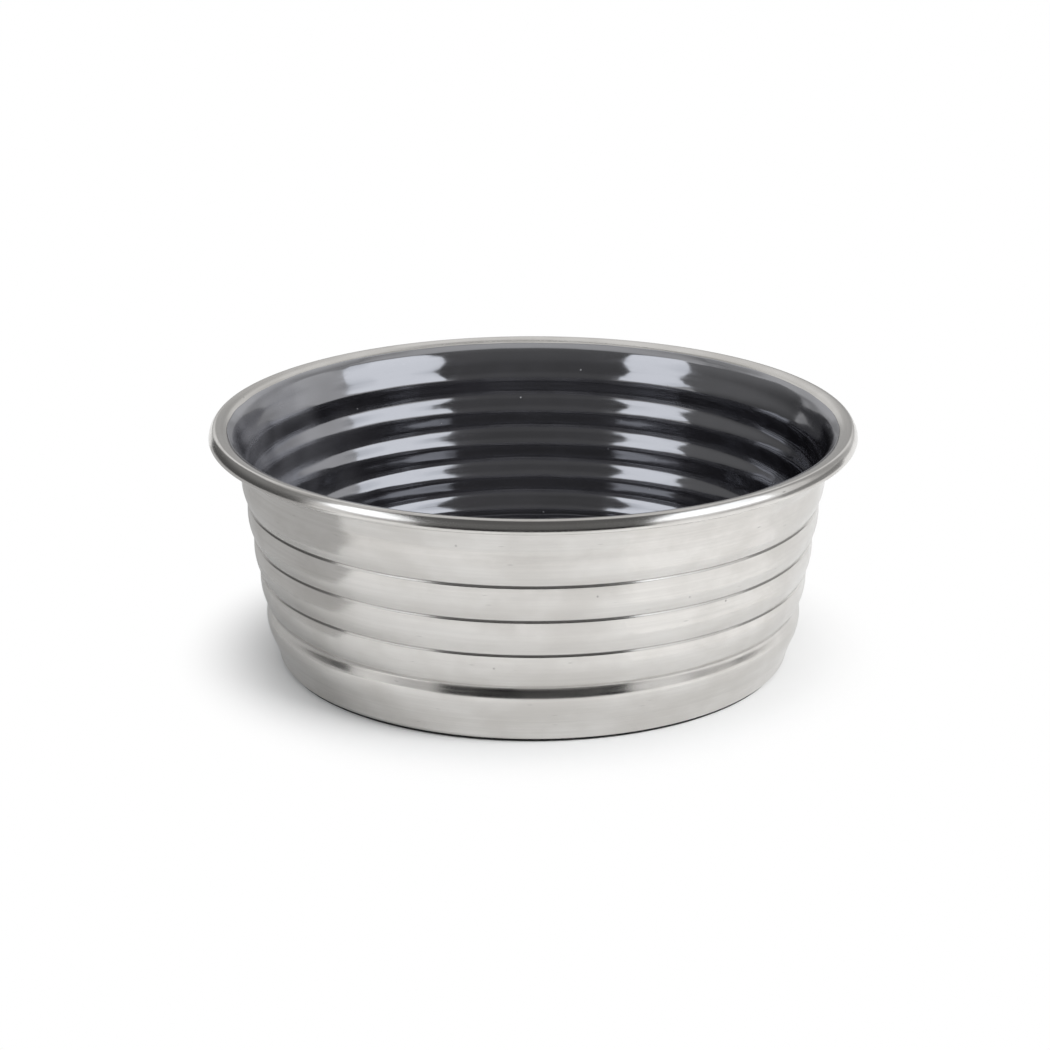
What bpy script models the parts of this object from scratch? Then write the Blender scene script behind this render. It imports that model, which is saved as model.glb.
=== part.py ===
"""Ribbed steel pet bowl with an enamelled inside and a rubber ring under its base.

Units are metres, +Z is up, and the origin is the middle of the bowl's footprint on the floor.
Every piece is turned round Z from one path: the outer skin of the pressed steel sheet, from
the middle of the base, up the ribbed wall and round the rolled rim.
"""
import math

import bpy

# Rim: the flare, a top that still rises outwards, then a tight edge, a round face and a tight hem
RIM_RADIUS = 0.1000
BOWL_HEIGHT = 0.0750
FLARE_SLOPE = math.radians(40)
FLARE_ROUND = 0.0020
BROW_INSET = 0.0044
BROW_SLOPE = math.radians(12)
BROW_ROUND = 0.0025
EDGE_ROUND = 0.0005
EDGE_END = math.radians(-48)
FACE_ROUND = 0.0040
FACE_END = math.radians(-86)
HEM_ROUND = 0.0002
HEM_END = math.radians(-190)

# Mouth: the plain band under the flare, which leans in to the first crease
SHEET = 0.0007
RIM_OVERHANG = 0.0067
MOUTH_HEIGHT = 0.0121
MOUTH_LEAN = 0.0029
MOUTH_ROUND = 0.0030

# Wall: bands that belly out between grooves and step in towards the base
BAND_COUNT = 5
BAND_TAPER = 0.0067
GROOVE_DEPTH = 0.0003
GROOVE_ROUND = 0.0004
SHOULDER_DROP = 0.0007
SHOULDER_ROUND = 0.0010
BELLY_RISE = 0.0045
BELLY_ROUND = 0.0180

# Lowest band, which is rounder than the others, and the foot under it
LOW_BAND_TOP = 0.0185
LOW_GROOVE_DEPTH = 0.00095
LOW_SHOULDER_DROP = 0.0032
LOW_SHOULDER_ROUND = 0.0060
LOW_BELLY_RISE = 0.0040
LOW_BELLY_ROUND = 0.0120
FOOT_INSET = 0.0018
FOOT_GROOVE_HEIGHT = 0.0074
FOOT_GROOVE_ROUND = 0.0010
FOOT_TAPER = 0.0019
FOOT_WALL_HEIGHT = 0.0021
FOOT_SHOULDER_ROUND = 0.0030
FOOT_ROUND = 0.0021

# Base: a shallow recess inside the foot, and a rubber ring in it with a thin lip under the foot
FOOT_WIDTH = 0.0050
RECESS_RUN = 0.0025
RECESS_DEPTH = 0.0034
RECESS_ROUND = 0.0015
RECESS_EDGE_ROUND = 0.0019
RING_STAND = 0.0008
RING_WIDTH = 0.0070
RING_SEAT_INSET = 0.0011
RING_LIP_ROOT = 0.0004
RING_LIP_INSET = 0.0016
RING_BEVEL = 0.0002
RING_CLEARANCE = 0.0003

# Enamel coat on the inside, which stops short of the bare rim
COAT = 0.0003
COAT_GAP = 0.0002
BARE_RIM = 0.0047

# Fineness of the turned surfaces
TURN_STEPS = 40
CHORD_ERROR = 0.00022
SAME_POINT = 0.000002


def bands():
    """Radius and top height of each band, from the top one down."""
    top_radius = RIM_RADIUS - RIM_OVERHANG - MOUTH_LEAN
    top_height = BOWL_HEIGHT - MOUTH_HEIGHT
    rows = []
    for i in range(BAND_COUNT):
        share = i / (BAND_COUNT - 1)
        height = top_height + (LOW_BAND_TOP - top_height) * share
        rows.append((top_radius - BAND_TAPER * share, height))
    return rows


def foot_groove_point():
    """Radius and height of the groove between the lowest band and the foot."""
    return bands()[-1][0] - FOOT_INSET, RING_STAND + FOOT_GROOVE_HEIGHT


def foot_radius():
    """Radius of the foot's wall, under its taper."""
    return foot_groove_point()[0] - FOOT_TAPER


def recess_radius():
    """Radius of the flat middle of the base, where the step down to the foot starts."""
    return foot_radius() - FOOT_WIDTH - RECESS_RUN


def base_corners():
    """Corners of the sheet's outer skin with their rounding, from the base's middle to the foot."""
    groove_r, groove_z = foot_groove_point()
    foot_r = foot_radius()
    recess_z = RING_STAND + RECESS_DEPTH
    return [
        (0.0, recess_z, 0.0),
        (recess_radius(), recess_z, RECESS_ROUND),
        (recess_radius() + RECESS_RUN, RING_STAND, RECESS_EDGE_ROUND),
        (foot_r, RING_STAND, FOOT_ROUND),
        (foot_r, RING_STAND + FOOT_WALL_HEIGHT, FOOT_SHOULDER_ROUND),
        (groove_r, groove_z, FOOT_GROOVE_ROUND),
    ]


def wall_corners():
    """Corners of the bands with their rounding, from the lowest band to the first crease."""
    low_r, low_top = bands()[-1]
    corners = [
        (low_r, foot_groove_point()[1] + LOW_BELLY_RISE, LOW_BELLY_ROUND),
        (low_r, low_top - LOW_SHOULDER_DROP, LOW_SHOULDER_ROUND),
        (low_r - LOW_GROOVE_DEPTH, low_top, GROOVE_ROUND),
    ]
    for radius, top in reversed(bands()[1:-1]):
        corners.append((radius, corners[-1][1] + BELLY_RISE, BELLY_ROUND))
        corners.append((radius, top - SHOULDER_DROP, SHOULDER_ROUND))
        corners.append((radius - GROOVE_DEPTH, top, GROOVE_ROUND))
    radius, top = bands()[0]
    corners.append((radius, corners[-1][1] + BELLY_RISE, BELLY_ROUND))
    corners.append((radius, top, MOUTH_ROUND))
    return corners


def arc_steps(radius, sweep):
    """How many straight pieces keep an arc within the chord error."""
    piece = 2 * math.acos(max(0.0, 1 - CHORD_ERROR / max(radius, CHORD_ERROR)))
    return max(1, math.ceil(abs(sweep) / piece))


def rounded_path(corners):
    """Points of a chain of rounded corners, each with the normal on its left-hand side."""
    heads = []
    lengths = []
    for (r0, z0, _), (r1, z1, _) in zip(corners, corners[1:]):
        heads.append(math.atan2(z1 - z0, r1 - r0))
        lengths.append(math.hypot(r1 - r0, z1 - z0))
    turns = [math.remainder(after - before, 2 * math.pi) for before, after in zip(heads, heads[1:])]
    reach = [0.0]
    for corner, turn in zip(corners[1:-1], turns):
        reach.append(corner[2] * math.tan(abs(turn) / 2))
    reach.append(0.0)
    path = [(corners[0][0], corners[0][1], heads[0])]
    for i, turn in enumerate(turns, start=1):
        before = lengths[i - 1] / max(lengths[i - 1], reach[i - 1] + reach[i])
        after = lengths[i] / max(lengths[i], reach[i] + reach[i + 1])
        share = reach[i] * min(before, after)
        radius = share / math.tan(abs(turn) / 2)
        side = math.copysign(1.0, turn)
        start_r = corners[i][0] - share * math.cos(heads[i - 1])
        start_z = corners[i][1] - share * math.sin(heads[i - 1])
        centre_r = start_r - side * radius * math.sin(heads[i - 1])
        centre_z = start_z + side * radius * math.cos(heads[i - 1])
        steps = arc_steps(radius, turn)
        for k in range(steps + 1):
            head = heads[i - 1] + turn * k / steps
            path.append((centre_r + side * radius * math.sin(head),
                         centre_z - side * radius * math.cos(head), head))
    path.append((corners[-1][0], corners[-1][1], heads[-1]))
    return [(r, z, -math.sin(head), math.cos(head)) for r, z, head in path]


def rolled_rim():
    """Path of the rim's edge, face and hem: three arcs that turn outwards, down and under."""
    stretches = (
        (EDGE_ROUND, BROW_SLOPE, EDGE_END),
        (FACE_ROUND, EDGE_END, FACE_END),
        (HEM_ROUND, FACE_END, HEM_END),
    )
    r = z = 0.0
    path = []
    for radius, start, end in stretches:
        steps = 1 + arc_steps(radius + SHEET, end - start)
        centre_r = r + radius * math.sin(start)
        centre_z = z - radius * math.cos(start)
        for k in range(steps + 1):
            head = start + (end - start) * k / steps
            r = centre_r - radius * math.sin(head)
            z = centre_z + radius * math.cos(head)
            path.append((r, z, -math.sin(head), math.cos(head)))
    out = RIM_RADIUS - max(r + normal_r * SHEET for r, _, normal_r, _ in path)
    up = BOWL_HEIGHT - max(z + normal_z * SHEET for _, z, _, normal_z in path)
    return [(r + out, z + up, normal_r, normal_z) for r, z, normal_r, normal_z in path]


def mouth_corners(edge_r, edge_z):
    """Corners of the mouth's lean and the flare, up to the point where the rim's edge starts."""
    wall_r = RIM_RADIUS - RIM_OVERHANG
    brow_r = RIM_RADIUS - BROW_INSET
    brow_z = edge_z - (edge_r - brow_r) * math.tan(BROW_SLOPE)
    flare_z = brow_z - (brow_r - wall_r) * math.tan(FLARE_SLOPE)
    return [(wall_r, flare_z, FLARE_ROUND), (brow_r, brow_z, BROW_ROUND), (edge_r, edge_z, 0.0)]


def sheet_path():
    """The sheet's outer skin from the base's middle to the hem's end, with normals inward."""
    rim = rolled_rim()
    path = rounded_path(base_corners() + wall_corners() + mouth_corners(*rim[0][:2]))
    return path + rim[1:]


def offset(path, distance):
    """The path moved along its normals, with points that fall together kept once."""
    points = []
    for r, z, normal_r, normal_z in path:
        point = (r + normal_r * distance, z + normal_z * distance)
        if not points or math.dist(point, points[-1]) > SAME_POINT:
            points.append(point)
    return points


def coated_path():
    """The part of the sheet's path that the enamel covers, cut on the flare."""
    edge_r = RIM_RADIUS - BARE_RIM
    depth = SHEET + COAT_GAP
    covered = []
    for point in sheet_path():
        reach = point[0] + point[2] * depth
        if reach >= edge_r:
            last = covered[-1]
            last_reach = last[0] + last[2] * depth
            share = (edge_r - last_reach) / (reach - last_reach)
            covered.append(tuple(a + (b - a) * share for a, b in zip(last, point)))
            break
        covered.append(point)
    return covered


def material(name, colour, roughness, metallic):
    made = bpy.data.materials.new(name)
    made.use_nodes = True
    shader = made.node_tree.nodes["Principled BSDF"]
    shader.inputs["Base Color"].default_value = (*colour, 1.0)
    shader.inputs["Roughness"].default_value = roughness
    shader.inputs["Metallic"].default_value = metallic
    return made


def turned(name, section, closed, finish):
    """One piece turned round Z from a section at +X that runs down its outer side."""
    mesh = bpy.data.meshes.new(name)
    edges = [(i, i + 1) for i in range(len(section) - 1)]
    if closed:
        edges.append((len(section) - 1, 0))
    mesh.from_pydata([(r, 0.0, z) for r, z in section], edges, [])
    mesh.materials.append(finish)
    piece = bpy.data.objects.new(name, mesh)
    bpy.context.scene.collection.objects.link(piece)
    turn = piece.modifiers.new("Turn", "SCREW")
    turn.axis = "Z"
    turn.angle = 2 * math.pi
    turn.steps = TURN_STEPS
    turn.render_steps = TURN_STEPS
    turn.use_merge_vertices = True
    turn.merge_threshold = SAME_POINT
    turn.use_smooth_shade = True
    return piece


def make_steel_bowl():
    """The pressed sheet: inner skin out to the hem's end, then the outer skin back down."""
    path = sheet_path()
    section = offset(path, SHEET) + offset(path, 0.0)[::-1]
    steel = material("stainless_steel", (0.62, 0.60, 0.58), 0.25, 1.0)
    return turned("steel_bowl", section, False, steel)


def make_enamel_lining():
    """The fired coat on the food side, on the sheet's inner skin."""
    path = coated_path()
    inner = offset(path, SHEET + COAT_GAP + COAT)
    section = inner + offset(path, SHEET + COAT_GAP)[::-1]
    enamel = material("charcoal_enamel", (0.045, 0.043, 0.050), 0.15, 0.0)
    return turned("enamel_lining", section, False, enamel)


def make_anti_slip_ring():
    """The ring seated in the base recess, with a lip that lies under the steel foot."""
    seat = recess_radius() - RING_SEAT_INSET
    inner = seat - RING_WIDTH
    top = RING_STAND + RECESS_DEPTH - RING_CLEARANCE
    lip_root = recess_radius() + RECESS_RUN - RING_LIP_ROOT
    lip_end = foot_radius() - RING_LIP_INSET
    lip_top = RING_STAND - RING_CLEARANCE
    section = [
        (inner, RING_BEVEL),
        (inner, top - RING_BEVEL),
        (inner + RING_BEVEL, top),
        (seat, top),
        (lip_root, lip_top),
        (lip_end - RING_BEVEL, lip_top),
        (lip_end, lip_top - RING_BEVEL),
        (lip_end, RING_BEVEL),
        (lip_end - RING_BEVEL, 0.0),
        (inner + RING_BEVEL, 0.0),
    ]
    rubber = material("black_rubber", (0.02, 0.02, 0.02), 0.75, 0.0)
    return turned("anti_slip_ring", section, True, rubber)


def main():
    for old in list(bpy.data.objects):
        bpy.data.objects.remove(old, do_unlink=True)
    make_steel_bowl()
    make_enamel_lining()
    make_anti_slip_ring()


main()
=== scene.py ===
"""Dressed model of the ribbed steel pet bowl: satin steel, dark enamel and a rubber base ring.

Units are metres, +Z is up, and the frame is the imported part's own. Every piece is turned round Z
from the outer skin of the pressed sheet, in much finer steps than the solids. The bands belly out
slightly more than the solid's. The coat lies closer, flows over the creases and ends lower down.
"""
import math

import bpy
import numpy as np
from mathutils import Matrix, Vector, noise


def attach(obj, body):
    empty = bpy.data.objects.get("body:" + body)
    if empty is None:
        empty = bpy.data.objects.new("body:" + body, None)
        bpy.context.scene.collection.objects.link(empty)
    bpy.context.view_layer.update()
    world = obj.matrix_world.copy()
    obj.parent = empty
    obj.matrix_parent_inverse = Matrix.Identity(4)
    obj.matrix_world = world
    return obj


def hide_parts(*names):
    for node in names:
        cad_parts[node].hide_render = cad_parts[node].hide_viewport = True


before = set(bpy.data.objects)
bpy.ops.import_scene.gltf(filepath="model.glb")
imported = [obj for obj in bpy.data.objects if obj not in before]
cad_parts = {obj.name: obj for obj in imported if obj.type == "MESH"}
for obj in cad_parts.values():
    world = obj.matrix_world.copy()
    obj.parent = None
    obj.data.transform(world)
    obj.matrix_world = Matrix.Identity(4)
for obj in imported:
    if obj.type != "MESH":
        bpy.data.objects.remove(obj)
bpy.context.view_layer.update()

# Rim: the flare, a top that still rises outwards, then a tight edge, a round face and a tight hem
RIM_RADIUS = 0.1000
BOWL_HEIGHT = 0.0750
FLARE_SLOPE = math.radians(40)
FLARE_ROUND = 0.0020
BROW_INSET = 0.0044
BROW_SLOPE = math.radians(12)
BROW_ROUND = 0.0025
EDGE_ROUND = 0.0005
EDGE_END = math.radians(-48)
FACE_ROUND = 0.0040
FACE_END = math.radians(-86)
HEM_ROUND = 0.0002
HEM_END = math.radians(-190)

# Mouth: the plain band under the flare, which leans in to the first crease
SHEET = 0.0007
RIM_OVERHANG = 0.0067
MOUTH_HEIGHT = 0.0121
MOUTH_LEAN = 0.0029
MOUTH_ROUND = 0.0030

# Wall: bands that belly out between grooves and step in towards the base
BAND_COUNT = 5
BAND_TAPER = 0.0067
GROOVE_DEPTH = 0.0003
GROOVE_ROUND = 0.0004
SHOULDER_DROP = 0.0007
SHOULDER_ROUND = 0.0010
BELLY_RISE = 0.0040
BELLY_ROUND = 0.0150

# Lowest band, which is rounder than the others, and the foot under it
LOW_BAND_TOP = 0.0185
LOW_GROOVE_DEPTH = 0.00095
LOW_SHOULDER_DROP = 0.0032
LOW_SHOULDER_ROUND = 0.0060
LOW_BELLY_RISE = 0.0040
LOW_BELLY_ROUND = 0.0120
FOOT_INSET = 0.0018
FOOT_GROOVE_HEIGHT = 0.0074
FOOT_GROOVE_ROUND = 0.0010
FOOT_TAPER = 0.0019
FOOT_WALL_HEIGHT = 0.0021
FOOT_SHOULDER_ROUND = 0.0030
FOOT_ROUND = 0.0021

# Base: a shallow recess inside the foot, and a rubber ring in it with a thin lip under the foot
FOOT_WIDTH = 0.0050
RECESS_RUN = 0.0025
RECESS_DEPTH = 0.0034
RECESS_ROUND = 0.0015
RECESS_EDGE_ROUND = 0.0019
RING_STAND = 0.0008
RING_WIDTH = 0.0070
RING_SEAT_INSET = 0.0011
RING_LIP_ROOT = 0.0004
RING_LIP_INSET = 0.0016
RING_EDGE_ROUND = 0.0002
RING_CLEARANCE = 0.0003

# Grooves in the ring's underside, with a profile of (place in pitches, share of the depth)
RING_GROOVES = 6
RING_GROOVE_DEPTH = 0.00025
RING_GROOVE_PROFILE = ((0.25, 0.0), (0.15, 1.0), (-0.15, 1.0), (-0.25, 0.0))

# Enamel coat on the inside: fuller over the creases, and thin at its slightly uneven top edge
COAT = 0.00025
COAT_GAP = 0.00004
COAT_FILL = 0.0003
COAT_FLOW = 0.0010
COAT_WAVE = 0.0007
COAT_EDGE_FADE = 0.0040
COAT_FLOOR_FADE = (0.050, 0.062)
BARE_RIM = 0.0058
NOSE_STEPS = 4
WANDER = 0.00022
WANDER_ROUND = 9.0
WANDER_LEVEL = 0.5
WANDER_POINTS = 3

# Fineness of the turned surfaces, and the slight unevenness left by the press
TURN_STEPS = 288
CHORD_ERROR = 0.000012
LONGEST_STEP = 0.0015
SAME_POINT = 0.000002
WOBBLE = 0.00004
WOBBLE_ROUND = 3.2
WOBBLE_UP = 45.0

# Colour sockets of the Mix node
MIX_FIRST = 6
MIX_SECOND = 7
MIX_RESULT = 2

# Finishes: a noise is (scale, detail, roughness), and streaks are (round, along, detail, roughness)
WHITE = (1.0, 1.0, 1.0, 1.0)
HUB_RADIUS = 0.040

# Satin steel: a wiped film, drawn grain and lines, scratches, pits, and painted shade in the creases
SMUDGE = (38.0, 3.0, 0.55)
WIPE = (5.0, 90.0, 4.0, 0.6)
FILM_SPAN = (0.75, 1.25)
DRAWN = (2.5, 2600.0, 3.0, 0.6)
DRAWN_SPAN = (0.3, 0.7)
DRAWN_DEPTH = 0.0000035
DRAWN_ROUGH = 0.05
LINES = (2.0, 1000.0, 2.0, 0.5)
LINES_SPAN = (0.35, 0.65)
LINES_SHARE = 0.2
GRAIN = (2300.0, 2.0, 0.6)
GRAIN_DEPTH = 0.000007
SCRATCH_SCALES = (5.0, 420.0)
SCRATCH_EDGE = (0.025, 0.065)
PIT_SCALE = 95.0
PIT_EDGE = (0.022, 0.042)
MARK_SHARE = 0.65
MARK_DEPTH = -0.000010
# Painted shade in the creases: the half width of its line, and its shares at the foot and higher up
CREASE_HALF = 0.00017
CREASE_SHADE_SHARES = (0.06, 0.45)
CLEAN_STEEL = (0.71, 0.694, 0.671, 1.0)
FILMED_STEEL = (0.625, 0.606, 0.580, 1.0)
LINED_STEEL = (0.54, 0.523, 0.500, 1.0)
# Dark colour of the painted shade in the creases
CREASE_SHADE_STEEL = (0.10, 0.095, 0.09, 1.0)
MARKED_STEEL = (0.33, 0.32, 0.31, 1.0)
STEEL_ROUGH = (0.13, 0.19)

# Charcoal enamel: clouds, orange peel, wiping streaks, pale flecks, a painted reflection that pales it
# towards the top edge, and haze on the left that also lightens it there as a painted reflection
CLOUD = (45.0, 3.0, 0.6)
CLOUD_SPAN = (0.3, 0.7)
FLOW = (80.0, 1.0, 0.4)
FLOW_DEPTH = 0.00026
PEEL = (210.0, 1.0, 0.5)
PEEL_DEPTH = 0.000016
WIPED = (3.0, 700.0, 2.0, 0.6)
WIPED_SPAN = (0.35, 0.7)
WIPED_DEPTH = 0.000003
WIPED_ROUGH = 0.04
FLECK_SCALE = 120.0
FLECK_EDGE = (0.020, 0.034)
FLECK_DEPTH = 0.00003
# Painted reflection: heights over which the colour pales towards the coat's top edge, and how sharply
RIM_SHEEN_HEIGHTS = (0.0680, 0.0752)
RIM_SHEEN_POWER = 2.0
# Haze on the left side: it roughens the coat, and lightens its colour there as a painted reflection
HAZE_AND_SHEEN_STREAKS = (5.0, 70.0, 1.0, 0.4)
HAZE_AND_SHEEN_SPAN = (0.30, 0.72)
HAZE_AND_SHEEN_SIDE = (-0.048, -0.084)
HAZE_ROUGH = 0.15
DARK_GLAZE = (0.008, 0.0077, 0.009, 1.0)
CLOUDED_GLAZE = (0.016, 0.0153, 0.018, 1.0)
# Colours of the painted reflections: pale at the top edge, and lighter grey on the left
PAINTED_RIM_SHEEN = (0.15, 0.15, 0.153, 1.0)
PAINTED_LEFT_SHEEN = (0.115, 0.115, 0.125, 1.0)
FLECK_COLOUR = (0.45, 0.45, 0.46, 1.0)
GLAZE_ROUGH = (0.07, 0.11)
GLAZE_IOR = 3.5
GLAZE_SPECULAR = (0.95, 0.955, 1.0, 1.0)

# Moulded rubber: a little dust on a fine tooth
DUST = (160.0, 4.0, 0.65)
DUST_SPAN = (0.45, 0.8)
DUST_ROUGH_SPAN = (0.3, 0.8)
TOOTH = (4200.0, 2.0, 0.6)
TOOTH_DEPTH = 0.00002
CLEAN_RUBBER = (0.016, 0.016, 0.017, 1.0)
DUSTY_RUBBER = (0.050, 0.049, 0.047, 1.0)
RUBBER_ROUGH = (0.60, 0.85)

# Floor: pale near the bowl, then white to the camera, and white to reflections further off
FLOOR_HALF = 3.0
FLOOR_COLOUR = (0.88, 0.88, 0.875, 1.0)
SHADOW_REACH = 0.072
WHITE_REACH = 0.114
MIRRORED_REACH = 0.28

# Cards that only reflections see: turns are from the front, and greys are (height, brightness)
CARD_STEPS = 60
CANOPY_RADIUS = 0.42
CANOPY_HALF = 0.31
CANOPY_LOW = math.radians(-10)
CANOPY_HIGH = math.radians(116)
CANOPY_GREYS = ((0.06, 0.005), (0.15, 0.14), (0.26, 0.15), (0.36, 0.11), (0.44, 0.11), (0.49, 0.70))
WALL_RADIUS = 0.50
LEFT_WALL_TOP = 0.42
LEFT_WALL_TURNS = (math.radians(-140), math.radians(-75))
LEFT_WALL_GREYS = ((0.06, 0.09), (0.28, 0.25))
RIGHT_WALL_TOP = 0.13
RIGHT_WALL_TURNS = (math.radians(84), math.radians(124))
RIGHT_WALL_GREYS = ((0.06, 0.28), (0.28, 0.08))
TABLE_RADIUS = 0.13
TABLE_RISE = 0.0005
GREY_TABLE_TURNS = (math.radians(-140), math.radians(-62))
GREY_TABLE_GREYS = ((0.0, 0.50),)
WHITE_TABLE_TURNS = (math.radians(28), math.radians(86))
WHITE_TABLE_GREYS = ((0.0, 1.12),)

# Soft boxes: direction from the front, height angle, distance, width, height and power
LEFT_BOX = (math.radians(-54), math.radians(30), 0.9, 0.62, 0.54, 0.95)
RIGHT_BOX = (math.radians(62), math.radians(30), 0.9, 0.80, 0.50, 1.45)
KEY_BOX = (math.radians(54), math.radians(36), 0.9, 0.50, 0.50, 6.0)
TOP_BOX = (0.0, math.radians(90), 1.0, 0.70, 0.70, 1.8)
COOL = (0.88, 0.93, 1.0)
NEUTRAL = (1.0, 1.0, 1.0)

# Room: its brightness to matt surfaces, and its range of clouded greys to reflections
DIM_ROOM = 0.38
REFLECTED_ROOM = (0.42, 0.82)
ROOM_CLOUD = (2.2, 0.0, 0.5)
ROOM_CLOUD_SPAN = (0.38, 0.62)

# Camera, with its focal length in pixels of the 1050-pixel image and its sensor in millimetres
IMAGE_PIXELS = 1050
FOCAL_PIXELS = 2981.0
AXIS_PIXEL = 533.1
SENSOR = 36.0
CAMERA_DISTANCE = 0.933
CAMERA_ELEVATION = math.radians(18.67)
TARGET_HEIGHT = 0.0403


def band_pitch():
    """Height from the top of one band to the next."""
    return (BOWL_HEIGHT - MOUTH_HEIGHT - LOW_BAND_TOP) / (BAND_COUNT - 1)


def bands():
    """Radius and top height of each band, from the top one down."""
    top_radius = RIM_RADIUS - RIM_OVERHANG - MOUTH_LEAN
    top_height = BOWL_HEIGHT - MOUTH_HEIGHT
    rows = []
    for i in range(BAND_COUNT):
        share = i / (BAND_COUNT - 1)
        height = top_height + (LOW_BAND_TOP - top_height) * share
        rows.append((top_radius - BAND_TAPER * share, height))
    return rows


def foot_groove_point():
    """Radius and height of the groove between the lowest band and the foot."""
    return bands()[-1][0] - FOOT_INSET, RING_STAND + FOOT_GROOVE_HEIGHT


def foot_radius():
    """Radius of the foot's wall, under its taper."""
    return foot_groove_point()[0] - FOOT_TAPER


def recess_radius():
    """Radius of the flat middle of the base, where the step down to the foot starts."""
    return foot_radius() - FOOT_WIDTH - RECESS_RUN


def base_corners():
    """Corners of the sheet's outer skin with their rounding, from the base's middle to the foot."""
    groove_r, groove_z = foot_groove_point()
    foot_r = foot_radius()
    recess_z = RING_STAND + RECESS_DEPTH
    return [
        (0.0, recess_z, 0.0),
        (recess_radius(), recess_z, RECESS_ROUND),
        (recess_radius() + RECESS_RUN, RING_STAND, RECESS_EDGE_ROUND),
        (foot_r, RING_STAND, FOOT_ROUND),
        (foot_r, RING_STAND + FOOT_WALL_HEIGHT, FOOT_SHOULDER_ROUND),
        (groove_r, groove_z, FOOT_GROOVE_ROUND),
    ]


def wall_corners():
    """Corners of the bands with their rounding, from the lowest band to the first crease."""
    low_r, low_top = bands()[-1]
    corners = [
        (low_r, foot_groove_point()[1] + LOW_BELLY_RISE, LOW_BELLY_ROUND),
        (low_r, low_top - LOW_SHOULDER_DROP, LOW_SHOULDER_ROUND),
        (low_r - LOW_GROOVE_DEPTH, low_top, GROOVE_ROUND),
    ]
    for radius, top in reversed(bands()[1:-1]):
        corners.append((radius, corners[-1][1] + BELLY_RISE, BELLY_ROUND))
        corners.append((radius, top - SHOULDER_DROP, SHOULDER_ROUND))
        corners.append((radius - GROOVE_DEPTH, top, GROOVE_ROUND))
    radius, top = bands()[0]
    corners.append((radius, corners[-1][1] + BELLY_RISE, BELLY_ROUND))
    corners.append((radius, top, MOUTH_ROUND))
    return corners


def arc_steps(radius, sweep):
    """How many straight pieces keep an arc within the chord error."""
    piece = 2 * math.acos(max(0.0, 1 - CHORD_ERROR / max(radius, CHORD_ERROR)))
    return max(1, math.ceil(abs(sweep) / piece))


def rounded_path(corners):
    """Points of a chain of rounded corners, each with the normal on its left-hand side."""
    heads = []
    lengths = []
    for (r0, z0, _), (r1, z1, _) in zip(corners, corners[1:]):
        heads.append(math.atan2(z1 - z0, r1 - r0))
        lengths.append(math.hypot(r1 - r0, z1 - z0))
    turns = [math.remainder(after - before, 2 * math.pi) for before, after in zip(heads, heads[1:])]
    reach = [0.0]
    for (_, _, rounding), turn in zip(corners[1:-1], turns):
        reach.append(rounding * math.tan(abs(turn) / 2))
    reach.append(0.0)
    path = [(corners[0][0], corners[0][1], heads[0])]
    for i, turn in enumerate(turns, start=1):
        before = lengths[i - 1] / max(lengths[i - 1], reach[i - 1] + reach[i])
        after = lengths[i] / max(lengths[i], reach[i] + reach[i + 1])
        share = reach[i] * min(before, after)
        radius = share / math.tan(abs(turn) / 2)
        side = math.copysign(1.0, turn)
        start_r = corners[i][0] - share * math.cos(heads[i - 1])
        start_z = corners[i][1] - share * math.sin(heads[i - 1])
        centre_r = start_r - side * radius * math.sin(heads[i - 1])
        centre_z = start_z + side * radius * math.cos(heads[i - 1])
        steps = arc_steps(radius, turn)
        for k in range(steps + 1):
            head = heads[i - 1] + turn * k / steps
            r = centre_r + side * radius * math.sin(head)
            z = centre_z - side * radius * math.cos(head)
            path.append((r, z, head))
    path.append((corners[-1][0], corners[-1][1], heads[-1]))
    return [(r, z, -math.sin(head), math.cos(head)) for r, z, head in path]


def with_short_steps(path):
    """The path with points added so that no step along it is long."""
    fine = [path[0]]
    for before, after in zip(path, path[1:]):
        count = max(1, math.ceil(math.dist(before[:2], after[:2]) / LONGEST_STEP))
        for k in range(1, count + 1):
            fine.append(tuple(a + (b - a) * k / count for a, b in zip(before, after)))
    return fine


def rolled_rim():
    """Path of the rim's edge, face and hem: three arcs that turn outwards, down and under."""
    stretches = (
        (EDGE_ROUND, BROW_SLOPE, EDGE_END),
        (FACE_ROUND, EDGE_END, FACE_END),
        (HEM_ROUND, FACE_END, HEM_END),
    )
    r = z = 0.0
    path = []
    for radius, start, end in stretches:
        steps = arc_steps(radius + SHEET, end - start)
        centre_r = r + radius * math.sin(start)
        centre_z = z - radius * math.cos(start)
        for k in range(steps + 1):
            head = start + (end - start) * k / steps
            r = centre_r - radius * math.sin(head)
            z = centre_z + radius * math.cos(head)
            path.append((r, z, -math.sin(head), math.cos(head)))
    out = RIM_RADIUS - max(r + normal_r * SHEET for r, _, normal_r, _ in path)
    up = BOWL_HEIGHT - max(z + normal_z * SHEET for _, z, _, normal_z in path)
    return [(r + out, z + up, normal_r, normal_z) for r, z, normal_r, normal_z in path]


def mouth_corners(edge_r, edge_z):
    """Corners of the mouth's lean and the flare, up to the point where the rim's edge starts."""
    wall_r = RIM_RADIUS - RIM_OVERHANG
    brow_r = RIM_RADIUS - BROW_INSET
    brow_z = edge_z - (edge_r - brow_r) * math.tan(BROW_SLOPE)
    flare_z = brow_z - (brow_r - wall_r) * math.tan(FLARE_SLOPE)
    return [(wall_r, flare_z, FLARE_ROUND), (brow_r, brow_z, BROW_ROUND), (edge_r, edge_z, 0.0)]


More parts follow.
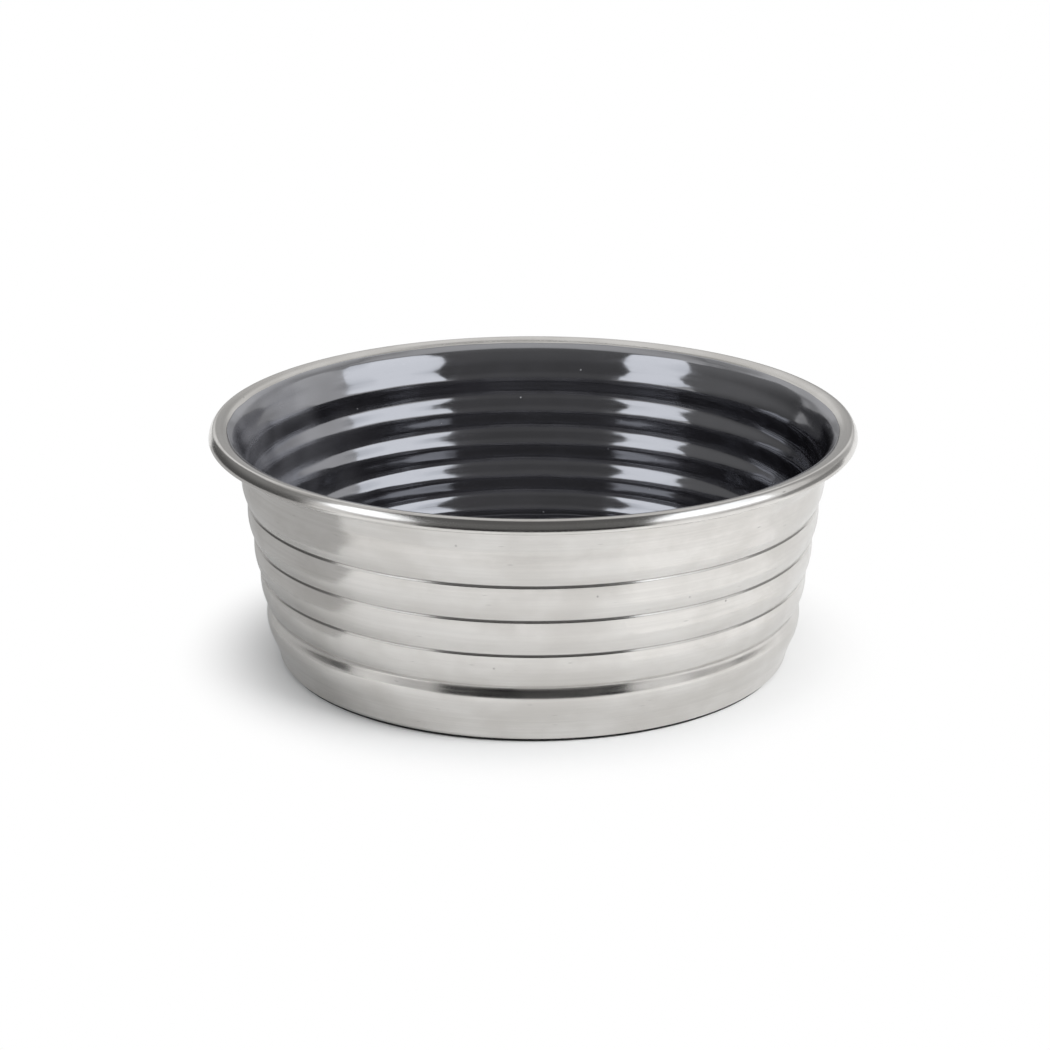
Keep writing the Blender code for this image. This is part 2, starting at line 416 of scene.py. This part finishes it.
def sheet_path():
    """The sheet's outer skin from the base's middle to the hem's end, with normals inward."""
    rim = rolled_rim()
    path = rounded_path(base_corners() + wall_corners() + mouth_corners(*rim[0][:2]))
    path = with_short_steps(path + rim[1:])
    return [path[0]] + [b for a, b in zip(path, path[1:]) if math.dist(a[:2], b[:2]) > SAME_POINT]


def offset(path, distance):
    """The path moved along its normals, with points that fall together kept once."""
    points = []
    for r, z, normal_r, normal_z in path:
        point = (max(0.0, r + normal_r * distance), z + normal_z * distance)
        if not points or math.dist(point, points[-1]) > SAME_POINT:
            points.append(point)
    return points


def coated_path():
    """The part of the sheet's path that the enamel covers, cut on the flare."""
    edge_r = RIM_RADIUS - BARE_RIM
    depth = SHEET + COAT_GAP
    covered = []
    last_reach = 0.0
    for point in sheet_path():
        r, _, normal_r, _ = point
        reach = r + normal_r * depth
        if reach >= edge_r:
            share = (edge_r - last_reach) / (reach - last_reach)
            covered.append(tuple(a + (b - a) * share for a, b in zip(covered[-1], point)))
            break
        covered.append(point)
        last_reach = reach
    return covered


def smooth_step(value, low, high):
    """0 up to the low value, 1 from the high one on, and a smooth rise between them."""
    share = np.clip((value - low) / (high - low), 0.0, 1.0)
    return share * share * (3 - 2 * share)


def flowed_points(points, along):
    """Each point averaged with its neighbours along the path, as a coat flows before it sets."""
    apart = along[:, None] - along[None, :]
    weights = np.exp(-0.5 * (apart / COAT_FLOW) ** 2) * np.gradient(along)[None, :]
    return weights @ points / weights.sum(1)[:, None]


def coat_skin(path):
    """The enamel's free skin. It is fullest over the creases, so the bands read as soft waves."""
    points = np.array([(r, z) for r, z, _, _ in path])
    along = np.concatenate([[0.0], np.cumsum(np.hypot(*np.diff(points, axis=0).T))])
    below_edge = smooth_step(along[-1] - along, 0.0, COAT_EDGE_FADE)
    off_floor = smooth_step(points[:, 0], *COAT_FLOOR_FADE)
    share = below_edge * off_floor
    skin = points + (flowed_points(points, along) - points) * share[:, None]
    heading = np.gradient(skin, along, axis=0)
    heading /= np.hypot(*heading.T)[:, None]
    normal = np.stack([-heading[:, 1], heading[:, 0]], axis=1)
    turns = np.clip((points[:, 1] - LOW_BAND_TOP) / band_pitch(), -0.5, BAND_COUNT - 0.5)
    wave = 0.5 + 0.5 * np.cos(2 * math.pi * turns)
    depth = SHEET + COAT_GAP + COAT + (COAT_FILL + COAT_WAVE * wave) * share
    skin = skin + normal * depth[:, None]
    # The first point stays on the axis
    skin[0, 0] = 0.0
    return [tuple(point) for point in skin.tolist()]


def coat_nose(end):
    """Points of the half round that closes the coat's top edge, at the end of its path."""
    end_r, end_z, normal_r, normal_z = end
    middle_r = end_r + normal_r * (SHEET + COAT_GAP + COAT / 2)
    middle_z = end_z + normal_z * (SHEET + COAT_GAP + COAT / 2)
    points = []
    for k in range(1, NOSE_STEPS):
        out = COAT / 2 * math.sin(math.pi * k / NOSE_STEPS)
        up = COAT / 2 * math.cos(math.pi * k / NOSE_STEPS)
        r = middle_r + normal_r * up + normal_z * out
        z = middle_z + normal_z * up - normal_r * out
        points.append((r, z))
    return points


def noise_round(angle, radius, level):
    """Noise on a circle, so that it joins up after one turn."""
    return noise.noise(Vector((radius * math.cos(angle), radius * math.sin(angle), level)))


def press_wobble(angle, height):
    """How far the pressed wall stands off a true circle here. It fades out at the rim and base."""
    low = foot_groove_point()[1]
    rise = (height - low) / (BOWL_HEIGHT - low)
    fade = max(0.0, math.sin(math.pi * min(1.0, max(0.0, rise)))) ** 0.5
    return WOBBLE * fade * noise_round(angle, WOBBLE_ROUND, WOBBLE_UP * height)


def pressed_shift(angle, z, i):
    """Shift of a point that follows the press's unevenness."""
    return press_wobble(angle, z), 0.0


def no_shift(angle, z, i):
    """Shift of a point on a piece that is turned true."""
    return 0.0, 0.0


def add_object(name, data):
    """A new object in the scene."""
    made = bpy.data.objects.new(name, data)
    bpy.context.scene.collection.objects.link(made)
    return made


def add_mesh(name, corners, faces, finish):
    """A new mesh object with one finish."""
    mesh = bpy.data.meshes.new(name)
    mesh.from_pydata(corners, [], faces)
    mesh.materials.append(finish)
    return add_object(name, mesh)


def turned_rows(section, shift):
    """Corners of a turned skin, and for each point of its section the row of corners round Z."""
    corners = []
    rows = []
    for i, (r, z) in enumerate(section):
        start = len(corners)
        if r < SAME_POINT:
            corners.append((0.0, 0.0, z))
            rows.append([start] * TURN_STEPS)
            continue
        for k in range(TURN_STEPS):
            angle = 2 * math.pi * k / TURN_STEPS
            away, rise = shift(angle, z, i)
            corners.append(((r + away) * math.cos(angle), (r + away) * math.sin(angle), z + rise))
        rows.append(list(range(start, start + TURN_STEPS)))
    return corners, rows


def section_shares(section):
    """How far along the section each of its points lies, from 0 to 1."""
    along = [0.0]
    for before, after in zip(section, section[1:]):
        along.append(along[-1] + math.dist(before, after))
    return [length / along[-1] for length in along]


def turned_faces(rows, shares):
    """Outward faces between neighbouring rows, and the place of each face corner on a flat map."""
    faces = []
    places = []
    levels = list(zip(rows, shares))
    for (row, low), (next_row, high) in zip(levels, levels[1:]):
        for k in range(TURN_STEPS):
            after = (k + 1) % TURN_STEPS
            left = k / TURN_STEPS
            right = (k + 1) / TURN_STEPS
            ring = [
                (row[k], left, low),
                (next_row[k], left, high),
                (next_row[after], right, high),
                (row[after], right, low),
            ]
            kept = [ring[j] for j in range(len(ring)) if ring[j][0] != ring[j - 1][0]]
            faces.append([corner for corner, _, _ in kept])
            places.extend((u, v) for _, u, v in kept)
    return faces, places


def turned(name, section, closed, shift, finish):
    """A piece turned round Z from a section, each point moved out and up by shift(angle, z, i)."""
    corners, rows = turned_rows(section, shift)
    if closed:
        section = section + section[:1]
        rows.append(rows[0])
    faces, places = turned_faces(rows, section_shares(section))
    piece = add_mesh(name, corners, faces, finish)
    layer = piece.data.uv_layers.new(name="OFBake")
    layer.uv.foreach_set("vector", np.array(places, np.float32).ravel())
    piece.data.polygons.foreach_set("use_smooth", [True] * len(faces))
    piece.data.update()
    return piece


class Nodes:
    """Short ways to add and link nodes in one shader tree."""

    def __init__(self, tree):
        self.tree = tree
        tree.nodes.clear()

    def add(self, kind, sockets=None, **settings):
        """A new node with its settings made and its sockets filled."""
        node = self.tree.nodes.new(kind)
        for key, value in settings.items():
            setattr(node, key, value)
        for key, value in (sockets or {}).items():
            self.put(node.inputs[key], value)
        return node

    def put(self, socket, value):
        """Fills a socket with a plain value, or with a link from another node."""
        if isinstance(value, bpy.types.NodeSocket):
            self.tree.links.new(value, socket)
        else:
            socket.default_value = value

    def place(self):
        """Place in the object's own frame."""
        return self.add("ShaderNodeTexCoord").outputs["Object"]

    def parts(self, place):
        """A place's X, Y and Z."""
        return self.add("ShaderNodeSeparateXYZ", {0: place}).outputs

    def math(self, operation, first, second=0.0):
        """The result of one operation on one or two values."""
        return self.add("ShaderNodeMath", {0: first, 1: second}, operation=operation).outputs[0]

    def span(self, value, low, high, to_low=0.0, to_high=1.0, smooth=True):
        """The value mapped from one range to another, and held at its ends."""
        kind = "SMOOTHSTEP" if smooth else "LINEAR"
        sockets = {"Value": value, "From Min": low, "From Max": high}
        sockets.update({"To Min": to_low, "To Max": to_high})
        return self.add("ShaderNodeMapRange", sockets, interpolation_type=kind).outputs["Result"]

    def noise(self, place, scale, detail, roughness):
        """Soft noise from about 0 to 1."""
        sockets = {"Vector": place, "Scale": scale, "Detail": detail, "Roughness": roughness}
        return self.add("ShaderNodeTexNoise", sockets).outputs["Fac"]

    def streaks(self, place, round_scale, along_scale, detail, roughness):
        """Noise that is drawn out round the bowl."""
        return self.noise(self.turned_place(place, round_scale, along_scale), 1.0, detail, roughness)

    def dots(self, place, scale, edge):
        """A scatter of dots: 1 inside the nearer edge distance, and 0 outside the farther one."""
        sockets = {"Vector": place, "Scale": scale}
        distance = self.add("ShaderNodeTexVoronoi", sockets, feature="F1").outputs["Distance"]
        return self.span(distance, *edge, 1.0, 0.0)

    def blend(self, share, first, second):
        """The first colour, with a share of the second one over it."""
        sockets = {"Factor": share, MIX_FIRST: first, MIX_SECOND: second}
        return self.add("ShaderNodeMix", sockets, data_type="RGBA").outputs[MIX_RESULT]

    def bump(self, height, distance, under=None):
        """A normal tilted by a height, on top of another bump if there is one."""
        sockets = {"Height": height, "Distance": distance, "Strength": 1.0}
        if under is not None:
            sockets["Normal"] = under
        return self.add("ShaderNodeBump", sockets).outputs["Normal"]

    def turned_place(self, place, round_scale, along_scale):
        """Place on the turned skin: round the axis without a seam, and along the section.

        Inside the hub radius it draws together, so that streaks don't crowd at the middle.
        """
        x, y, z = self.parts(place)
        square = self.math("ADD", self.math("MULTIPLY", x, x), self.math("MULTIPLY", y, y))
        radius = self.math("SQRT", square)
        reach = self.math("MAXIMUM", radius, HUB_RADIUS)
        sideways = self.math("MULTIPLY", self.math("DIVIDE", x, reach), round_scale)
        forwards = self.math("MULTIPLY", self.math("DIVIDE", y, reach), round_scale)
        along = self.math("MULTIPLY", self.math("ADD", z, radius), along_scale)
        return self.add("ShaderNodeCombineXYZ", {0: sideways, 1: forwards, 2: along}).outputs[0]

    def glow(self, strength):
        """White light that a surface gives off."""
        return self.add("ShaderNodeEmission", {"Color": WHITE, "Strength": strength}).outputs[0]

    def surface(self, shader):
        """Links a shader to the material's output."""
        self.add("ShaderNodeOutputMaterial", {"Surface": shader})


def new_finish(name):
    """A new material, and its empty node tree."""
    finish = bpy.data.materials.new(name)
    finish.use_nodes = True
    return finish, Nodes(finish.node_tree)


def close_finish(nodes, sockets):
    """The finish's Principled shader, linked to its output."""
    nodes.surface(nodes.add("ShaderNodeBsdfPrincipled", sockets).outputs[0])


def painted_crease_shade(nodes, height):
    """Share of painted shade at a height: a narrow dark line in each crease, faint at the foot, none at
    the mouth.
    """
    from_low_crease = nodes.math("SUBTRACT", height, LOW_BAND_TOP)
    from_crease = nodes.math("PINGPONG", from_low_crease, band_pitch() / 2)
    line = nodes.span(from_crease, CREASE_HALF / 2, CREASE_HALF, 1.0, 0.0)
    under_mouth = nodes.span(height, bands()[1][1] + band_pitch() / 2, bands()[0][1], 1.0, 0.0)
    over_foot = nodes.span(height, foot_groove_point()[1], LOW_BAND_TOP, *CREASE_SHADE_SHARES)
    return nodes.math("MULTIPLY", line, nodes.math("MULTIPLY", under_mouth, over_foot))


def steel_finish():
    """Satin steel with a drawn grain round the bowl, wiping smudges, fine scratches and pits."""
    finish, nodes = new_finish("satin_steel")
    place = nodes.place()
    wiping = nodes.math("ADD", nodes.noise(place, *SMUDGE), nodes.streaks(place, *WIPE))
    film = nodes.span(wiping, *FILM_SPAN)
    drawn = nodes.streaks(place, *DRAWN)
    lines = nodes.span(nodes.streaks(place, *LINES), *LINES_SPAN, 0.0, LINES_SHARE)
    # Painted shade: the colour darkens to a narrow line in each crease, where shade falls
    crease_shade = painted_crease_shade(nodes, nodes.parts(place)[2])
    scratch = nodes.dots(nodes.turned_place(place, *SCRATCH_SCALES), 1.0, SCRATCH_EDGE)
    pit = nodes.dots(place, PIT_SCALE, PIT_EDGE)
    mark = nodes.math("MAXIMUM", scratch, pit)
    tint = nodes.blend(film, CLEAN_STEEL, FILMED_STEEL)
    tint = nodes.blend(lines, tint, LINED_STEEL)
    tint = nodes.blend(crease_shade, tint, CREASE_SHADE_STEEL)
    colour = nodes.blend(nodes.math("MULTIPLY", mark, MARK_SHARE), tint, MARKED_STEEL)
    film_rough = nodes.span(film, 0.0, 1.0, *STEEL_ROUGH)
    rough = nodes.math("ADD", film_rough, nodes.span(drawn, *DRAWN_SPAN, 0.0, DRAWN_ROUGH))
    normal = nodes.bump(drawn, DRAWN_DEPTH)
    normal = nodes.bump(nodes.noise(place, *GRAIN), GRAIN_DEPTH, normal)
    normal = nodes.bump(mark, MARK_DEPTH, normal)
    close_finish(nodes, {"Base Color": colour, "Metallic": 1.0, "Roughness": rough, "Normal": normal})
    return finish


def enamel_finish():
    """Glossy charcoal enamel, paled towards the top edge by a painted reflection, and hazed on the left,
    where a painted reflection lightens it too.
    """
    finish, nodes = new_finish("charcoal_enamel")
    place = nodes.place()
    x, _, height = nodes.parts(place)
    cloud = nodes.noise(place, *CLOUD)
    wiped = nodes.streaks(place, *WIPED)
    fleck = nodes.dots(place, FLECK_SCALE, FLECK_EDGE)
    # Painted reflection: the colour pales towards the coat's top edge
    painted_rim_sheen = nodes.math("POWER", nodes.span(height, *RIM_SHEEN_HEIGHTS, smooth=False), RIM_SHEEN_POWER)
    streak = nodes.span(nodes.streaks(place, *HAZE_AND_SHEEN_STREAKS), *HAZE_AND_SHEEN_SPAN)
    # The haze roughens the coat on the left, and lightens its colour there as a painted reflection
    haze_and_sheen = nodes.math("MULTIPLY", nodes.span(x, *HAZE_AND_SHEEN_SIDE), streak)
    glaze = nodes.blend(nodes.span(cloud, *CLOUD_SPAN), DARK_GLAZE, CLOUDED_GLAZE)
    glaze = nodes.blend(painted_rim_sheen, glaze, PAINTED_RIM_SHEEN)
    glaze = nodes.blend(haze_and_sheen, glaze, PAINTED_LEFT_SHEEN)
    colour = nodes.blend(fleck, glaze, FLECK_COLOUR)
    cloud_rough = nodes.span(cloud, *CLOUD_SPAN, *GLAZE_ROUGH)
    rough = nodes.math("ADD", cloud_rough, nodes.span(wiped, *WIPED_SPAN, 0.0, WIPED_ROUGH))
    rough = nodes.math("ADD", rough, nodes.math("MULTIPLY", haze_and_sheen, HAZE_ROUGH))
    normal = nodes.bump(nodes.noise(place, *FLOW), FLOW_DEPTH)
    normal = nodes.bump(nodes.noise(place, *PEEL), PEEL_DEPTH, normal)
    normal = nodes.bump(wiped, WIPED_DEPTH, normal)
    normal = nodes.bump(fleck, FLECK_DEPTH, normal)
    close_finish(nodes, {
        "Base Color": colour,
        "Roughness": rough,
        "IOR": GLAZE_IOR,
        "Specular Tint": GLAZE_SPECULAR,
        "Normal": normal,
    })
    return finish


def rubber_finish():
    """Matt black moulded rubber with a fine tooth and a little dust."""
    finish, nodes = new_finish("moulded_rubber")
    place = nodes.place()
    dust = nodes.noise(place, *DUST)
    colour = nodes.blend(nodes.span(dust, *DUST_SPAN), CLEAN_RUBBER, DUSTY_RUBBER)
    rough = nodes.span(dust, *DUST_ROUGH_SPAN, *RUBBER_ROUGH)
    normal = nodes.bump(nodes.noise(place, *TOOTH), TOOTH_DEPTH)
    close_finish(nodes, {"Base Color": colour, "Roughness": rough, "Normal": normal})
    return finish


def make_steel():
    """The pressed sheet: inner skin out to the hem's end, then the outer skin back down."""
    path = sheet_path()
    section = offset(path, SHEET) + offset(path, 0.0)[::-1]
    piece = turned("pressed_steel_sheet", section, False, pressed_shift, steel_finish())
    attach(piece, "root")
    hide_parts("steel_bowl")


def make_enamel():
    """The fired coat on the sheet's inner skin, with a round nose at its uneven top edge."""
    path = coated_path()
    skin = coat_skin(path)
    nose = coat_nose(path[-1])
    back = offset(path, SHEET + COAT_GAP)
    edge_start = len(skin) - WANDER_POINTS
    edge_end = len(skin) + len(nose) + WANDER_POINTS
    _, _, normal_r, normal_z = path[-1]

    def shift(angle, z, i):
        """The press's unevenness, and at the top edge a wander up and down the flare as well."""
        away = press_wobble(angle, z)
        if not edge_start <= i < edge_end:
            return away, 0.0
        wander = WANDER * noise_round(angle, WANDER_ROUND, WANDER_LEVEL)
        return away + wander * normal_z, -wander * normal_r

    piece = turned("enamel_coat", skin + nose + back[::-1], False, shift, enamel_finish())
    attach(piece, "root")
    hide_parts("enamel_lining")


def round_corner(before, corner, after, radius):
    """Points of an arc that rounds one corner of a section."""
    path = rounded_path([(*before, 0.0), (*corner, radius), (*after, 0.0)])
    return [(r, z) for r, z, _, _ in path[1:-1]]


def ring_section():
    """The ring's section: up its inside, out to the lip's end, and back along the grooved underside."""
    seat = recess_radius() - RING_SEAT_INSET
    inner = seat - RING_WIDTH
    top = RING_STAND + RECESS_DEPTH - RING_CLEARANCE
    lip_root = recess_radius() + RECESS_RUN - RING_LIP_ROOT
    lip_end = foot_radius() - RING_LIP_INSET
    lip_top = RING_STAND - RING_CLEARANCE
    corners = [
        (inner, 0.0),
        (inner, top),
        (seat, top),
        (lip_root, lip_top),
        (lip_end, lip_top),
        (lip_end, 0.0),
    ]
    section = []
    for i, corner in enumerate(corners):
        after = corners[(i + 1) % len(corners)]
        section += round_corner(corners[i - 1], corner, after, RING_EDGE_ROUND)
    pitch = (lip_end - inner) / (RING_GROOVES + 1)
    for i in range(RING_GROOVES):
        middle = lip_end - pitch * (i + 1)
        for place, share in RING_GROOVE_PROFILE:
            section.append((middle + place * pitch, share * RING_GROOVE_DEPTH))
    return section


def make_rubber():
    """The ring seated in the base recess, with a lip under the foot and fine ribs on its underside."""
    piece = turned("rubber_base_ring", ring_section(), True, no_shift, rubber_finish())
    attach(piece, "root")
    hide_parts("anti_slip_ring")


def add_floor():
    """The pale floor, with a plain white glow where the camera or reflections see it as white."""
    finish, nodes = new_finish("pale_floor")
    distance = nodes.add("ShaderNodeVectorMath", {0: nodes.place()}, operation="LENGTH").outputs["Value"]
    rays = nodes.add("ShaderNodeLightPath").outputs
    past_shadow = nodes.span(distance, SHADOW_REACH, WHITE_REACH)
    far_off = nodes.span(distance, WHITE_REACH, MIRRORED_REACH)
    seen = nodes.math("MULTIPLY", past_shadow, rays["Is Camera Ray"])
    mirrored = nodes.math("MULTIPLY", far_off, rays["Is Glossy Ray"])
    share = nodes.math("MAXIMUM", seen, mirrored)
    pale = nodes.add("ShaderNodeBsdfDiffuse", {"Color": FLOOR_COLOUR}).outputs[0]
    both = nodes.add("ShaderNodeMixShader", {0: share, 1: pale, 2: nodes.glow(1.0)})
    nodes.surface(both.outputs[0])
    corners = []
    for across, back in ((-1, -1), (1, -1), (1, 1), (-1, 1)):
        corners.append((across * FLOOR_HALF, back * FLOOR_HALF, 0.0))
    floor = add_mesh("floor", corners, [(0, 1, 2, 3)], finish)


def add_card(name, pairs, greys):
    """A card that only reflections see, made from pairs of points, with greys that change by height."""
    finish, nodes = new_finish(name)
    height = nodes.parts(nodes.place())[2]
    strength = greys[0][1]
    for (low, grey), (high, next_grey) in zip(greys, greys[1:]):
        strength = nodes.math("ADD", strength, nodes.span(height, low, high, 0.0, next_grey - grey))
    nodes.surface(nodes.glow(strength))
    count = len(pairs) // 2 - 1
    faces = [(2 * k, 2 * k + 1, 2 * k + 3, 2 * k + 2) for k in range(count)]
    card = add_mesh(name, pairs, faces, finish)
    card.visible_camera = False
    card.visible_diffuse = False
    card.visible_shadow = False


def canopy_pairs():
    """Pairs of points at the left and right of an arch, from low in front to past overhead."""
    pairs = []
    for k in range(CARD_STEPS + 1):
        rise = CANOPY_LOW + (CANOPY_HIGH - CANOPY_LOW) * k / CARD_STEPS
        y = -CANOPY_RADIUS * math.cos(rise)
        z = BOWL_HEIGHT + CANOPY_RADIUS * math.sin(rise)
        pairs += [(-CANOPY_HALF, y, z), (CANOPY_HALF, y, z)]
    return pairs


def side_pairs(near, far, turns):
    """Pairs of points round the bowl, each at the near and far (radius, height)."""
    pairs = []
    for k in range(CARD_STEPS + 1):
        turn = turns[0] + (turns[1] - turns[0]) * k / CARD_STEPS
        for radius, height in (near, far):
            pairs.append((radius * math.sin(turn), -radius * math.cos(turn), height))
    return pairs


def add_cards():
    """The canopy over the front, a wall on each side, and a grey and a white card on the table."""
    wall_foot = (WALL_RADIUS, 0.0)
    left_wall = side_pairs(wall_foot, (WALL_RADIUS, LEFT_WALL_TOP), LEFT_WALL_TURNS)
    right_wall = side_pairs(wall_foot, (WALL_RADIUS, RIGHT_WALL_TOP), RIGHT_WALL_TURNS)
    table_near = (TABLE_RADIUS, TABLE_RISE)
    table_far = (WALL_RADIUS, TABLE_RISE)
    grey_table = side_pairs(table_near, table_far, GREY_TABLE_TURNS)
    white_table = side_pairs(table_near, table_far, WHITE_TABLE_TURNS)
    add_card("dark_canopy", canopy_pairs(), CANOPY_GREYS)
    add_card("dark_wall", left_wall, LEFT_WALL_GREYS)
    add_card("dark_right_wall", right_wall, RIGHT_WALL_GREYS)
    add_card("grey_table", grey_table, GREY_TABLE_GREYS)
    add_card("white_table", white_table, WHITE_TABLE_GREYS)


def aim_at_bowl(thing, direction, rise, distance):
    """Faces a lamp or camera to the bowl, from angles round from the front and above the floor."""
    level = math.cos(rise)
    away = Vector((math.sin(direction) * level, -math.cos(direction) * level, math.sin(rise)))
    thing.location = Vector((0.0, 0.0, TARGET_HEIGHT)) + away * distance
    thing.rotation_euler = away.to_track_quat("Z", "Y").to_euler()


def add_soft_box(name, shape, colour, direction, rise, distance, width, height, power):
    """A soft box aimed at the bowl, which the camera doesn't see."""
    data = bpy.data.lights.new(name, "AREA")
    data.shape = shape
    data.size = width
    data.size_y = height
    data.energy = power
    data.color = colour
    lamp = add_object(name, data)
    aim_at_bowl(lamp, direction, rise, distance)
    lamp.visible_camera = False
    return lamp


def add_room():
    """A room that is white to the camera, clouded grey to reflections and dim to matt surfaces."""
    world = bpy.data.worlds.new("room")
    world.use_nodes = True
    nodes = Nodes(world.node_tree)
    rays = nodes.add("ShaderNodeLightPath").outputs
    direction = nodes.add("ShaderNodeTexCoord").outputs["Generated"]
    mirrored = nodes.span(nodes.noise(direction, *ROOM_CLOUD), *ROOM_CLOUD_SPAN, *REFLECTED_ROOM)
    strength = nodes.span(rays["Is Glossy Ray"], 0.0, 1.0, DIM_ROOM, mirrored, smooth=False)
    strength = nodes.math("MAXIMUM", strength, rays["Is Camera Ray"])
    light = nodes.add("ShaderNodeBackground", {"Color": WHITE, "Strength": strength})
    nodes.add("ShaderNodeOutputWorld", {"Surface": light.outputs[0]})
    bpy.context.scene.world = world


def add_camera():
    """The camera in front of the bowl, with its lens shifted so that the bowl's axis is off centre."""
    data = bpy.data.cameras.new("camera")
    data.sensor_width = SENSOR
    data.lens = FOCAL_PIXELS / IMAGE_PIXELS * SENSOR
    data.shift_x = (IMAGE_PIXELS / 2 - AXIS_PIXEL) / IMAGE_PIXELS
    camera = add_object("camera", data)
    aim_at_bowl(camera, 0.0, CAMERA_ELEVATION, CAMERA_DISTANCE)
    bpy.context.scene.camera = camera


make_steel()
make_enamel()
make_rubber()
add_floor()
add_cards()
add_soft_box("left_box", "ELLIPSE", COOL, *LEFT_BOX)
add_soft_box("right_box", "RECTANGLE", COOL, *RIGHT_BOX)
add_soft_box("key_box", "RECTANGLE", NEUTRAL, *KEY_BOX).visible_glossy = False
add_soft_box("top_box", "RECTANGLE", NEUTRAL, *TOP_BOX)
add_room()
add_camera()
bpy.context.scene.view_settings.view_transform = "Standard"
bpy.context.view_layer.update()
